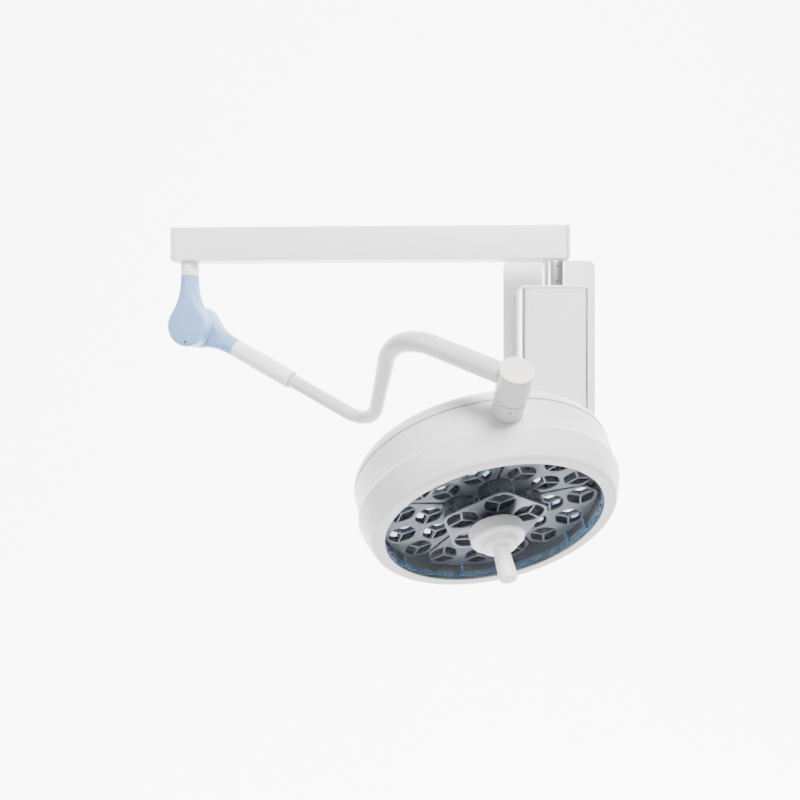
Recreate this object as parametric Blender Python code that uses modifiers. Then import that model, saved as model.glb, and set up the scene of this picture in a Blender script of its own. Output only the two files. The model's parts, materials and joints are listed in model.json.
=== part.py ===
"""Wall-mounted dental operating light.

A transformer housing on a wall plate carries a short column.  A horizontal arm turns on
the column, a hinged second arm hangs from its far end on two teardrop knuckles, a bent
tube turns in that arm's sleeve, and the round lamp head tilts on a hub at the tube's end.

Frame: origin on the wall plate's back face, +X right, +Y into the wall, +Z up.  Metres.
"""
import math

import bmesh
import bpy
from mathutils import Matrix, Vector

# ---------------------------------------------------------------- driving dimensions
GAP = 0.0003                      # clearance left between neighbouring solids
PLATE_WIDTH, PLATE_HEIGHT, PLATE_THICK = 0.207, 0.46, 0.008
PLATE_CORNER = 0.016
COLUMN_X, COLUMN_Y = -0.010, -0.118   # column axis, to one side of the plate's centre
COLUMN_RADIUS, COLUMN_BORE = 0.024, 0.0205
COLUMN_TOP = 0.2092               # top edge of the column tube
HOUSING_TOP, HOUSING_BOTTOM = 0.156, -0.155
HOUSING_WIDTH, HOUSING_FRONT = 0.140, -0.150
HOUSING_WALL = 0.003
RAIL_WIDTH = 0.0055               # bright strip down each side of the housing

ARM_BOTTOM, ARM_HEIGHT, ARM_WIDTH = 0.2135, 0.071, 0.056
ARM_REACH = 0.784                 # column axis to swivel axis
ARM_OVER_COLUMN, ARM_OVER_SWIVEL = 0.0325, 0.0355
ARM_WALL, ARM_CAP = 0.003, 0.008
SPINDLE_RADIUS = 0.018

SWIVEL_RADIUS = 0.0193
TEAR_RADIUS, TEAR_THICK, TEAR_LENGTH = 0.0457, 0.040, 0.102
TEAR_NECK = 0.0193                # half width where the knuckle meets its tube
TEAR_WALL = 0.003
HINGE_DROP = 0.138                # hinge axis below the arm's underside
AXLE_RADIUS = 0.008

SLEEVE_RADIUS, SLEEVE_BORE = 0.0197, 0.0165
SLEEVE_START, SLEEVE_END = 0.097, 0.252

TUBE_THIN, TUBE_THICK = 0.0146, 0.0197   # radius of the bent tube at sleeve and hub
SPIGOT_RADIUS = 0.0125
YOKE_LOW = (0.4605, 0.0)          # corners of the tube's centre line, along and above
YOKE_HIGH = (0.4752, 0.3001)      # the sleeve's axis
YOKE_HUB = (0.7209, 0.3371)
BEND_LOW, BEND_HIGH = 0.068, 0.106

HUB_REACH = 0.3434                # head pivot point to the tube's centre line at the hub
HUB_UPPER_RADIUS, HUB_LOWER_RADIUS = 0.0312, 0.0287
HUB_TOP, HUB_SEAM = 0.3664, 0.2990
HUB_SPINDLE_RADIUS = 0.011

# Lamp head, turned about its own axis: z = 0 at the window, negative towards the back.
WINDOW_RADIUS = 0.2168
RIM_RADIUS = 0.243
CREASE_RADIUS, CREASE_Z = 0.2620, -0.052
BULGE_RADIUS, BULGE_Z = 0.2540, -0.030
SEAM_RADIUS, SEAM_Z = 0.2615, -0.114
BACK_RADIUS, BACK_Z = 0.2600, -0.168
HEAD_WALL = 0.003
LAMP_DROP = 0.0773                # head pivot point to the window plane
PETALS = 5
CENTRE_CARRIER_Z = -0.0145        # flat pentagon carrier, just behind the window
PETAL_AXIS_Z, PETAL_DISH = -0.066, 5.6   # outer carriers: cone apex and slope in degrees

# Pose of each joint as it hangs at rest, in degrees.
ARM_YAW = 177.8                   # arm direction, nearly flat against the wall
FOREARM_AZIMUTH = -18.15          # second arm, a little out from the wall
FOREARM_DROOP = 28.0
YOKE_ROLL = 44.13
HUB_CANT = -2.4                   # hub axis against the sleeve's normal
HEAD_TURN = -48.17                # head turned about the hub axis
HEAD_RAKE = 2.8                   # head axis against the hub's normal

# ---------------------------------------------------------------- scene and materials
for old in list(bpy.data.objects):
    bpy.data.objects.remove(old, do_unlink=True)

scene = bpy.context.scene
PARTS = bpy.data.collections.new("dental_operating_light")
CUTTERS = bpy.data.collections.new("cutters")
scene.collection.children.link(PARTS)
scene.collection.children.link(CUTTERS)

FINISHES = {
    "white_paint": ((0.80, 0.80, 0.81), 0.35, 0.0),
    "warm_white": ((0.84, 0.83, 0.81), 0.40, 0.0),
    "aluminium": ((0.72, 0.73, 0.75), 0.30, 1.0),
    "blue_plastic": ((0.50, 0.60, 0.72), 0.22, 0.0),
    "steel": ((0.55, 0.56, 0.58), 0.35, 1.0),
    "black_screw": ((0.02, 0.02, 0.02), 0.45, 0.0),
    "glass": ((0.60, 0.72, 0.82), 0.05, 0.0),
    "led_grey": ((0.12, 0.14, 0.17), 0.45, 0.0),
    "board_green": ((0.05, 0.20, 0.10), 0.50, 0.0),
    "nylon": ((0.88, 0.88, 0.85), 0.55, 0.0),
    "handle_white": ((0.90, 0.89, 0.88), 0.42, 0.0),
    "gasket": ((0.05, 0.05, 0.06), 0.70, 0.0),
}


def finish(name, node):
    """One Principled material for each node, named after it."""
    colour, rough, metal = FINISHES[name]
    mat = bpy.data.materials.new(node + "_" + name)
    mat.use_nodes = True
    shader = mat.node_tree.nodes["Principled BSDF"]
    shader.inputs["Base Color"].default_value = (*colour, 1.0)
    shader.inputs["Roughness"].default_value = rough
    shader.inputs["Metallic"].default_value = metal
    mat.diffuse_color = (*colour, 1.0)
    return mat


# ---------------------------------------------------------------- building tools
def frame_empty(name, parent, place, turn=(0, 0, 0)):
    """An empty that carries one link of the arm; turn is in degrees."""
    empty = bpy.data.objects.new(name, None)
    PARTS.objects.link(empty)
    empty.parent = parent
    empty.location = place
    empty.rotation_euler = [math.radians(a) for a in turn]
    empty.empty_display_size = 0.05
    return empty


def add_mesh(name, bm, parent, place, turn, look):
    """Turn a bmesh into an object: a node when look is a finish, a cutter when it is None."""
    mesh = bpy.data.meshes.new(name)
    bmesh.ops.recalc_face_normals(bm, faces=bm.faces)
    bm.to_mesh(mesh)
    bm.free()
    obj = bpy.data.objects.new(name, mesh)
    obj.parent = parent
    obj.location = place
    obj.rotation_euler = [math.radians(a) for a in turn]
    if look is None:
        CUTTERS.objects.link(obj)
        obj.hide_render = True
        obj.display_type = "WIRE"
    else:
        PARTS.objects.link(obj)
        mesh.materials.append(finish(look, name))
        mesh.shade_smooth()
        mesh.set_sharp_from_angle(angle=math.radians(35))
    return obj


def box(name, size, parent, place=(0, 0, 0), turn=(0, 0, 0), look=None):
    bm = bmesh.new()
    bmesh.ops.create_cube(bm, size=1.0, matrix=Matrix.Diagonal((*size, 1.0)))
    return add_mesh(name, bm, parent, place, turn, look)


def rod(name, radius, length, parent, place=(0, 0, 0), turn=(0, 0, 0), look=None,
        sides=32, radius_top=None):
    """A cylinder or cone standing on place, along its own +Z."""
    bm = bmesh.new()
    bmesh.ops.create_cone(bm, cap_ends=True, segments=sides, radius1=radius,
                          radius2=radius if radius_top is None else radius_top,
                          depth=length, matrix=Matrix.Translation((0, 0, length / 2)))
    return add_mesh(name, bm, parent, place, turn, look)


def turned(name, profile, parent, place=(0, 0, 0), turn=(0, 0, 0), look=None, steps=32):
    """A closed ring or a solid of revolution about +Z from an (r, z) profile.

    The profile runs down the outer side; points at r = 0 close it on the axis.
    """
    bm = bmesh.new()
    verts = [bm.verts.new((r, 0.0, z)) for r, z in profile]
    for a, b in zip(verts, verts[1:]):
        bm.edges.new((a, b))
    if profile[0][0] > 0.0:
        bm.edges.new((verts[-1], verts[0]))
    bmesh.ops.spin(bm, geom=bm.verts[:] + bm.edges[:], cent=(0, 0, 0), axis=(0, 0, 1),
                   angle=math.tau, steps=steps, use_merge=True)
    bmesh.ops.remove_doubles(bm, verts=bm.verts, dist=1e-6)
    return add_mesh(name, bm, parent, place, turn, look)


def ring(name, outer, inner, length, parent, place=(0, 0, 0), turn=(0, 0, 0), look=None,
         steps=28):
    """A plain tube standing on place."""
    return turned(name, [(outer, length), (outer, 0), (inner, 0), (inner, length)],
                  parent, place, turn, look, steps)


def slab(name, outline, thick, parent, place=(0, 0, 0), turn=(0, 0, 0), look=None):
    """A flat outline in XY, centred on its thickness along Z."""
    bm = bmesh.new()
    low = [bm.verts.new((x, y, -thick / 2)) for x, y in outline]
    face = bm.faces.new(low)
    raised = bmesh.ops.extrude_face_region(bm, geom=[face])
    top = [v for v in raised["geom"] if isinstance(v, bmesh.types.BMVert)]
    bmesh.ops.translate(bm, verts=top, vec=(0, 0, thick))
    return add_mesh(name, bm, parent, place, turn, look)


def cut(obj, *cutters):
    for cutter in cutters:
        tool = obj.modifiers.new("cut_" + cutter.name, "BOOLEAN")
        tool.operation = "DIFFERENCE"
        tool.object = cutter


def join(obj, *others):
    for other in others:
        tool = obj.modifiers.new("join_" + other.name, "BOOLEAN")
        tool.operation = "UNION"
        tool.object = other


def soften(obj, width, segments=2, angle=40):
    bevel = obj.modifiers.new("bevel", "BEVEL")
    bevel.width = width
    bevel.segments = segments
    bevel.limit_method = "ANGLE"
    bevel.angle_limit = math.radians(angle)


def arc(cx, cy, radius, start, stop, count):
    """Points along an arc, angles in degrees."""
    step = (stop - start) / (count - 1)
    angles = [math.radians(start + step * i) for i in range(count)]
    return [(cx + radius * math.cos(a), cy + radius * math.sin(a)) for a in angles]


def round_rect(width, height, radius, count=5):
    """Rounded rectangle outline about the origin."""
    points = []
    for sx, sy, start in ((1, 1, 0), (-1, 1, 90), (-1, -1, 180), (1, -1, 270)):
        points += arc(sx * (width / 2 - radius), sy * (height / 2 - radius), radius,
                      start, start + 90, count)
    return points


def teardrop(inset=0.0, count=17):
    """Knuckle outline: a disc about the origin drawn out to a neck along +X."""
    radius, neck, length = TEAR_RADIUS - inset, TEAR_NECK - inset, TEAR_LENGTH
    tangent = math.degrees(math.acos((radius - neck) / length))
    return arc(0, 0, radius, tangent, 360 - tangent, count) + [(length, -neck), (length, neck)]


def screw(name, parent, place, turn, radius, length, look):
    """Socket screw: a short cylinder with a hexagon recess, head at its +Z end."""
    body = rod(name, radius, length, parent, place, turn, look, sides=20)
    reach = length * 0.35
    socket = rod(name + "_socket", radius * 0.5, reach * 2, body, (0, 0, length - reach),
                 sides=6)
    cut(body, socket)
    return body


# ---------------------------------------------------------------- wall mount and column
def build_wall_mount():
    base = frame_empty("wall_frame", None, (0, 0, 0))
    plate = slab("wall_plate", round_rect(PLATE_WIDTH, PLATE_HEIGHT, PLATE_CORNER),
                 PLATE_THICK, base, (0, -PLATE_THICK / 2, 0), (90, 0, 0), "white_paint")
    # Four wall screws sit under the housing cover, clear of what it holds.
    for index, (side, height) in enumerate(((-1, 0.128), (1, 0.128), (-1, -0.130), (1, -0.130))):
        place = (COLUMN_X + side * 0.050, 0.001, height)
        cut(plate, rod("plate_hole_%d" % index, 0.0032, 0.02, base, place, (90, 0, 0)))
        stud = rod("wall_screw_%d" % (index + 1), 0.0029, PLATE_THICK + GAP, base,
                   (place[0], 0, place[2]), (90, 0, 0), "steel", sides=16)
        head = rod("screw_head_%d" % index, 0.0060, 0.0035, base,
                   (place[0], -PLATE_THICK - GAP, place[2]), (90, 0, 0), sides=16)
        join(stud, head)

    depth = -HOUSING_FRONT - PLATE_THICK - GAP
    middle = (HOUSING_FRONT - PLATE_THICK - GAP) / 2
    tall = HOUSING_TOP - HOUSING_BOTTOM
    centre_z = (HOUSING_TOP + HOUSING_BOTTOM) / 2
    inner_width = HOUSING_WIDTH - 2 * RAIL_WIDTH - 2 * GAP
    end = 0.006
    cover_tall = tall - 2 * end - 2 * GAP
    cover = box("housing_cover", (inner_width, depth, cover_tall), base,
                (COLUMN_X, middle, centre_z), look="white_paint")
    soften(cover, 0.004)
    hollow = box("housing_hollow", (inner_width - 2 * HOUSING_WALL, depth, tall), base,
                 (COLUMN_X, middle + HOUSING_WALL, centre_z))
    cut(cover, hollow)
    for side, name in ((-1, "left"), (1, "right")):
        rail = box("housing_rail_" + name, (RAIL_WIDTH, depth - 0.010, cover_tall), base,
                   (COLUMN_X + side * (HOUSING_WIDTH - RAIL_WIDTH) / 2, middle + 0.005, centre_z),
                   look="aluminium")
        soften(rail, 0.0015)
    for name, height in (("top", HOUSING_TOP - end / 2), ("bottom", HOUSING_BOTTOM + end / 2)):
        lid = box("housing_cap_" + name, (HOUSING_WIDTH, depth, end), base,
                  (COLUMN_X, middle, height), look="white_paint")
        soften(lid, 0.0015)
        if name == "top":
            hole = rod("column_hole", COLUMN_RADIUS + GAP, 0.03, base,
                       (COLUMN_X, COLUMN_Y + 0.0, height - 0.015), sides=28)
            cut(lid, hole)
    return base


def build_housing_contents(base):
    """Transformer and terminal block behind the cover, fixed to the plate."""
    face = -PLATE_THICK - GAP
    supply = box("power_supply", (0.086, 0.055, 0.110), base,
                 (COLUMN_X, face - 0.0275, -0.085), look="steel")
    soften(supply, 0.003)
    block = box("terminal_block", (0.060, 0.024, 0.022), base,
                (COLUMN_X, face - 0.012, 0.0), look="nylon")
    for index in range(4):
        cut(block, rod("terminal_%d" % index, 0.0035, 0.02, base,
                       (COLUMN_X - 0.0225 + 0.015 * index, face - 0.016, 0.0), (90, 0, 0),
                       sides=12))


def build_column(base):
    foot = 0.010
    tube = ring("column_tube", COLUMN_RADIUS, COLUMN_BORE, COLUMN_TOP - foot, base,
                (COLUMN_X, COLUMN_Y, foot), look="aluminium", steps=32)
    # A mounting saddle ties the tube back to the wall plate inside the housing.
    reach = -COLUMN_Y - PLATE_THICK - GAP
    saddle = box("column_saddle", (0.070, reach, 0.090), base,
                 (COLUMN_X, -PLATE_THICK - GAP - reach / 2, 0.080), look="aluminium")
    cut(saddle, rod("saddle_bore", COLUMN_RADIUS + GAP, 0.2, base,
                    (COLUMN_X, COLUMN_Y, 0.0), sides=32))
    for index, height in enumerate((0.1820, 0.1685)):
        turn = (90, 0, 14)
        out = Vector((math.sin(math.radians(14)), -math.cos(math.radians(14)), 0))
        name = ("column_screw_upper", "column_screw_lower")[index]
        start = Vector((COLUMN_X, COLUMN_Y, height)) + out * (COLUMN_BORE + 0.0012)
        cut(tube, rod(name + "_hole", 0.0023, 0.02, base,
                      Vector((COLUMN_X, COLUMN_Y, height)) + out * 0.012, turn, sides=16))
        screw(name, base, start, turn, 0.0020, 0.0020, "black_screw")
    bush = SPINDLE_RADIUS + GAP
    for name, height in (("column_bush_lower", 0.085), ("column_bush_upper", COLUMN_TOP - 0.026)):
        ring(name, COLUMN_BORE - GAP, bush, 0.025, base, (COLUMN_X, COLUMN_Y, height),
             look="nylon")
    ring("thrust_washer", COLUMN_RADIUS, bush, ARM_BOTTOM - COLUMN_TOP - 2 * GAP, base,
         (COLUMN_X, COLUMN_Y, COLUMN_TOP + GAP), look="nylon")


# ---------------------------------------------------------------- horizontal arm
def build_arm():
    arm = frame_empty("arm_frame", None, (COLUMN_X, COLUMN_Y, ARM_BOTTOM), (0, 0, ARM_YAW))
    start = -ARM_OVER_COLUMN + ARM_CAP
    stop = ARM_REACH + ARM_OVER_SWIVEL - ARM_CAP
    middle, length = (start + stop) / 2, stop - start - 2 * GAP
    beam = box("arm_beam", (length, ARM_WIDTH, ARM_HEIGHT), arm,
               (middle, 0, ARM_HEIGHT / 2), look="white_paint")
    soften(beam, 0.0025)
    inner = box("arm_hollow", (length + 0.02, ARM_WIDTH - 2 * ARM_WALL,
                               ARM_HEIGHT - 2 * ARM_WALL), arm, (middle, 0, ARM_HEIGHT / 2))
    cut(beam, inner)
    cut(beam, rod("beam_hole_column", SPINDLE_RADIUS + GAP, 0.02, arm, (0, 0, -0.01)),
        rod("beam_hole_swivel", SWIVEL_RADIUS - 0.0033 + GAP, 0.02, arm, (ARM_REACH, 0, -0.01)))
    for name, place in (("arm_cap_column", start - ARM_CAP / 2),
                        ("arm_cap_swivel", stop + ARM_CAP / 2)):
        lid = box(name, (ARM_CAP, ARM_WIDTH, ARM_HEIGHT), arm, (place, 0, ARM_HEIGHT / 2),
                  look="warm_white")
        soften(lid, 0.003)
    ceiling = ARM_HEIGHT - ARM_WALL - GAP
    rod("arm_spindle", SPINDLE_RADIUS, 0.135 + ceiling, arm, (0, 0, -0.135), look="steel",
        sides=28)
    pin = SWIVEL_RADIUS - 0.0033
    block = box("swivel_housing", (0.052, ARM_WIDTH - 2 * ARM_WALL - 2 * GAP, ceiling - ARM_WALL - GAP),
                arm, (ARM_REACH - 0.002, 0, ARM_WALL + GAP + (ceiling - ARM_WALL - GAP) / 2),
                look="aluminium")
    cut(block, rod("swivel_bore", pin + 0.0022, 0.2, arm, (ARM_REACH, 0, -0.05), sides=28))
    ring("swivel_bush", pin + 0.0022 - GAP, pin + GAP, 0.050, arm, (ARM_REACH, 0, 0.008),
         look="nylon")
    return arm


# ---------------------------------------------------------------- knuckles
def knuckle_shell(name, parent, place, turn, open_side, ports=()):
    """Half of a teardrop casing: outer face on the far side from open_side (+1 or -1)."""
    half = TEAR_THICK / 2 - GAP / 2
    shell = slab(name, teardrop(), half, parent, place, turn, "blue_plastic")
    soften(shell, 0.0035, 2, 50)
    hollow = slab(name + "_hollow", teardrop(TEAR_WALL), half, shell,
                  (0.0, 0, open_side * TEAR_WALL))
    cut(shell, hollow)
    for index, (radius, at) in enumerate(ports):
        cut(shell, rod("%s_port_%d" % (name, index), radius, 0.04, shell, (*at, -0.02)))
    return shell


def build_swivel(arm):
    swivel = frame_empty("swivel_frame", arm, (ARM_REACH, 0, 0),
                         (0, 0, FOREARM_AZIMUTH - ARM_YAW))
    neck = HINGE_DROP - TEAR_LENGTH
    pin = SWIVEL_RADIUS - 0.0033
    turned("swivel_tube", [(pin, 0.066), (pin, -GAP * 2), (SWIVEL_RADIUS, -GAP * 2),
                           (SWIVEL_RADIUS, -neck + GAP), (0.008, -neck + GAP), (0.008, 0.066)],
           swivel, look="white_paint", steps=28)
    # The casing hangs with its neck up: its own +X points at the arm.
    half = TEAR_THICK / 4
    ports = ((AXLE_RADIUS + GAP, (0, 0)),)
    for name, shift, side, holes in (("front_shell_outer", -half - GAP / 4, 1, ()),
                                     ("front_shell_inner", half + GAP / 4, -1, ports)):
        knuckle_shell(name, swivel, (0, shift, -HINGE_DROP), (90, -90, 0), -side, holes)
    lug = TEAR_THICK - 2 * TEAR_WALL - 2 * GAP
    drum = rod("front_drum", TEAR_RADIUS - TEAR_WALL - 0.006, lug, swivel,
               (0, lug / 2, -HINGE_DROP), (90, 0, 0), "steel", sides=28)
    stem = box("front_stem", (0.024, lug - 0.004, TEAR_LENGTH - 0.004), swivel,
               (0, 0, -HINGE_DROP + TEAR_LENGTH / 2 - 0.004))
    bore = rod("front_drum_bore", AXLE_RADIUS + GAP, 0.1, swivel, (0, 0.05, -HINGE_DROP),
               (90, 0, 0), sides=32)
    join(drum, stem)
    cut(drum, bore)
    return swivel


def build_spring_arm(swivel):
    """Second arm: its own +X runs down the sleeve, +Y along the hinge axle."""
    arm = frame_empty("spring_arm_frame", swivel, (0, TEAR_THICK + GAP * 2, -HINGE_DROP),
                      (0, FOREARM_DROOP, 0))
    half = TEAR_THICK / 4
    ports = ((AXLE_RADIUS + GAP, (0, 0)),)
    bosses = ((0.0032, (0.062, 0.012)), (0.0032, (0.010, -0.034)))
    for name, shift, side, holes in (("rear_shell_inner", -half - GAP / 4, 1, ports + bosses),
                                     ("rear_shell_outer", half + GAP / 4, -1, ())):
        knuckle_shell(name, arm, (0, shift, 0), (90, 0, 0), -side, holes)
    lug = TEAR_THICK - 2 * TEAR_WALL - 2 * GAP
    drum = rod("rear_drum", TEAR_RADIUS - TEAR_WALL - 0.012, lug, arm, (0, lug / 2, 0),
               (90, 0, 0), "steel", sides=28)
    cut(drum, rod("rear_drum_bore", AXLE_RADIUS + GAP, 0.1, arm, (0, 0.05, 0), (90, 0, 0),
                  sides=32))
    for index, (radius, at) in enumerate(bosses):
        screw("knuckle_screw_%d" % (index + 1), arm, (at[0], -TEAR_THICK / 2 + 0.007, at[1]),
              (90, 0, 0), radius - GAP, 0.0055, "black_screw")
    # The axle is keyed in the front drum and turns in the rear one.
    axle_length = 2 * TEAR_THICK - 2 * TEAR_WALL - 2 * GAP
    rod("hinge_axle", AXLE_RADIUS, axle_length, swivel,
        (0, 1.5 * TEAR_THICK - TEAR_WALL - GAP, -HINGE_DROP), (90, 0, 0), "steel", sides=32)

    sleeve_length = SLEEVE_END - TEAR_LENGTH - GAP
    ring("sleeve_tube", SLEEVE_RADIUS, SLEEVE_BORE, sleeve_length, arm,
         (TEAR_LENGTH + GAP, 0, 0), (0, 90, 0), "white_paint", steps=28)
    ring("sleeve_bush", SLEEVE_BORE - GAP, SPIGOT_RADIUS + GAP, 0.040, arm,
         (SLEEVE_END - 0.042, 0, 0), (0, 90, 0), "nylon", steps=32)
    rod_radius = 0.004
    ring("spring_seat", SLEEVE_BORE - GAP, rod_radius + 0.001, 0.006, arm,
         (TEAR_LENGTH + 0.010, 0, 0), (0, 90, 0), "steel", steps=32)
    return arm, rod_radius


def build_balance(arm, rod_radius):
    """Compression spring round a rod; the rod's nut squeezes it as the arm goes down."""
    plunger = frame_empty("plunger_frame", arm, (0.040, 0, 0), (0, 90, 0))
    reach = 0.138
    bolt = rod("spring_rod", rod_radius, reach, plunger, look="steel", sides=16)
    nut = rod("spring_nut", 0.0125, 0.006, plunger, (0, 0, reach - 0.006), sides=24)
    join(bolt, nut)
    start, stop, coil, turns = TEAR_LENGTH + 0.0180, 0.0398 + reach - 0.0075, 0.0092, 7
    wire = 0.0014
    curve = bpy.data.curves.new("balance_spring", "CURVE")
    curve.dimensions = "3D"
    curve.bevel_depth = wire
    curve.bevel_resolution = 2
    curve.use_fill_caps = True
    line = curve.splines.new("POLY")
    count = turns * 12 + 1
    line.points.add(count - 1)
    for index in range(count):
        share = index / (count - 1)
        angle = math.tau * turns * share
        height = start + (stop - start) * share
        line.points[index].co = (height, coil * math.cos(angle), coil * math.sin(angle), 1.0)
    spring = bpy.data.objects.new("balance_spring", curve)
    PARTS.objects.link(spring)
    spring.parent = arm
    curve.materials.append(finish("steel", "balance_spring"))


# ---------------------------------------------------------------- bent tube and hub
def yoke_route():
    """Centre line in the tube's own plane: three straight runs joined by two arcs."""
    start = Vector((SLEEVE_END - 0.046, 0.0))
    route = [start]
    corners = (Vector(YOKE_LOW), Vector(YOKE_HIGH))
    ends = (start, *corners, Vector(YOKE_HUB))
    for index, radius in enumerate((BEND_LOW, BEND_HIGH)):
        corner = ends[index + 1]
        before = (ends[index] - corner).normalized()
        after = (ends[index + 2] - corner).normalized()
        half = before.angle(after) / 2
        centre = corner + (before + after).normalized() * (radius / math.sin(half))
        first = corner + before * (radius / math.tan(half)) - centre
        last = corner + after * (radius / math.tan(half)) - centre
        sweep = first.angle(last)
        for step in range(9):
            share = step / 8
            route.append(centre + (first * math.sin((1 - share) * sweep)
                                   + last * math.sin(share * sweep)) / math.sin(sweep))
    inward = (ends[-1] - ends[-2]).normalized()
    route.append(ends[-1] - inward * (HUB_UPPER_RADIUS - 0.004))
    return route


def build_yoke(arm):
    yoke = frame_empty("yoke_frame", arm, (0, 0, 0), (YOKE_ROLL, 0, 0))
    curve = bpy.data.curves.new("yoke_route", "CURVE")
    curve.dimensions = "3D"
    curve.bevel_depth = 1.0
    curve.bevel_resolution = 6
    curve.use_fill_caps = True
    line = curve.splines.new("POLY")
    route = yoke_route()
    line.points.add(len(route) - 1)
    lengths = [0.0]
    for before, after in zip(route, route[1:]):
        lengths.append(lengths[-1] + (after - before).length)
    for point, (along, above), length in zip(line.points, route, lengths):
        point.co = (along, 0.0, above, 1.0)
        # Even as far as the upright run, then swelling through the upper bend.
        swell = min(1.0, max(0.0, (length / lengths[-1] - 0.45) / 0.35))
        point.radius = TUBE_THIN + (TUBE_THICK - TUBE_THIN) * swell ** 2 * (3 - 2 * swell)
    guide = bpy.data.objects.new("yoke_route", curve)
    scene.collection.objects.link(guide)
    bpy.context.view_layer.update()
    mesh = bpy.data.meshes.new_from_object(guide.evaluated_get(
        bpy.context.evaluated_depsgraph_get()))
    bpy.data.objects.remove(guide, do_unlink=True)
    bm = bmesh.new()
    bm.from_mesh(mesh)
    bmesh.ops.remove_doubles(bm, verts=bm.verts, dist=1e-5)
    tube = add_mesh("yoke_tube", bm, yoke, (0, 0, 0), (0, 0, 0), "white_paint")
    # The stretch inside the sleeve is turned down to a spigot that runs in the bush.
    collar = SLEEVE_END + GAP - 0.0500
    spigot = ring("spigot_relief", 0.05, SPIGOT_RADIUS, 0.0500, yoke,
                  (collar, 0, 0), (0, 90, 0), steps=32)
    cut(tube, spigot)
    return yoke


def build_hub(yoke):
    """Hub frame: origin at the head's pivot point, +Z out along the hub."""
    cant = math.radians(HUB_CANT)
    pivot = (YOKE_HUB[0] - HUB_REACH * math.sin(cant), 0.0,
             YOKE_HUB[1] - HUB_REACH * math.cos(cant))
    hub = frame_empty("hub_frame", yoke, pivot, (0, HUB_CANT, 0))
    lid = 0.004
    bore = HUB_SPINDLE_RADIUS + 0.0025
    height = HUB_TOP - lid - GAP
    upper = turned("hub_upper", [(HUB_UPPER_RADIUS, height), (HUB_UPPER_RADIUS, HUB_SEAM + GAP),
                                 (bore, HUB_SEAM + GAP), (bore, height)], hub,
                   look="white_paint", steps=32)
    along = math.degrees(math.atan2(YOKE_HUB[1] - YOKE_HIGH[1], YOKE_HUB[0] - YOKE_HIGH[0]))
    socket = rod("tube_socket", TUBE_THICK + GAP * 2, 0.06, yoke,
                 (YOKE_HUB[0], 0, YOKE_HUB[1]), (0, -90 - along, 0), sides=28)
    socket.location = Vector(socket.location) - Vector(
        (math.cos(math.radians(along)), 0, math.sin(math.radians(along)))) * (
        HUB_UPPER_RADIUS - 0.0045)
    cut(upper, socket)
    cap = turned("hub_cap", [(0, HUB_TOP), (HUB_UPPER_RADIUS - 0.001, HUB_TOP),
                             (HUB_UPPER_RADIUS, HUB_TOP - 0.001),
                             (HUB_UPPER_RADIUS, HUB_TOP - lid), (0, HUB_TOP - lid)], hub,
                 look="warm_white", steps=32)
    ring("hub_bush", bore - GAP, HUB_SPINDLE_RADIUS + GAP, 0.040, hub, (0, 0, HUB_SEAM + 0.006),
         look="nylon", steps=32)
    return hub


# ---------------------------------------------------------------- lamp head
def build_head(hub):
    head = frame_empty("head_frame", hub, (0, 0, 0), (0, 0, HEAD_TURN))
    rake = math.radians(HEAD_RAKE)
    lamp = frame_empty("lamp_frame", head,
                       (LAMP_DROP * math.cos(rake), 0, -LAMP_DROP * math.sin(rake)),
                       (0, 90 + HEAD_RAKE, 0))
    # Front housing: window lip, rounded bezel, skirt up to the crease, wall up to the seam.
    bead = arc(RIM_RADIUS - 0.012, -0.010, 0.012, 0, 90, 5)
    wall = HEAD_WALL
    outer = [(SEAM_RADIUS, SEAM_Z), (CREASE_RADIUS, CREASE_Z),
             (BULGE_RADIUS, BULGE_Z)] + bead
    inner = [(WINDOW_RADIUS, 0.0), (WINDOW_RADIUS, -0.004), (WINDOW_RADIUS + 0.006, -0.004),
             (WINDOW_RADIUS + 0.006, -0.014), (RIM_RADIUS - wall, -0.014),
             (CREASE_RADIUS - wall, CREASE_Z), (SEAM_RADIUS - wall, SEAM_Z)]
    shell = turned("head_shell", outer + inner, lamp, look="white_paint", steps=60)
    back = [(0, BACK_Z), (0.150, BACK_Z + 0.002), (BACK_RADIUS - 0.040, BACK_Z + 0.008),
            (BACK_RADIUS - 0.014, BACK_Z + 0.020), (BACK_RADIUS, BACK_Z + 0.040),
            (SEAM_RADIUS + 0.0005, SEAM_Z - 0.0030)]
    inside = [(SEAM_RADIUS - wall, SEAM_Z - 0.0030), (BACK_RADIUS - wall, BACK_Z + 0.041),
              (BACK_RADIUS - 0.016, BACK_Z + 0.023), (BACK_RADIUS - 0.042, BACK_Z + 0.011),
              (0.150, BACK_Z + 0.005), (0, BACK_Z + 0.003)]
    turned("back_cover", (back + inside)[::-1], lamp, look="white_paint", steps=60)
    turned("seam_gasket", [(SEAM_RADIUS - 0.0012, SEAM_Z - GAP),
                           (SEAM_RADIUS - 0.0012, SEAM_Z - 0.0030 + GAP),
                           (SEAM_RADIUS - wall, SEAM_Z - 0.0030 + GAP),
                           (SEAM_RADIUS - wall, SEAM_Z - GAP)], lamp, look="gasket", steps=60)
    turned("window_glass", [(0.024, -0.0045), (WINDOW_RADIUS + 0.0055, -0.0045),
                            (WINDOW_RADIUS + 0.0055, -0.0090), (0.024, -0.0090)][::-1], lamp,
           look="glass", steps=60)
    return head, lamp, shell


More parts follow.
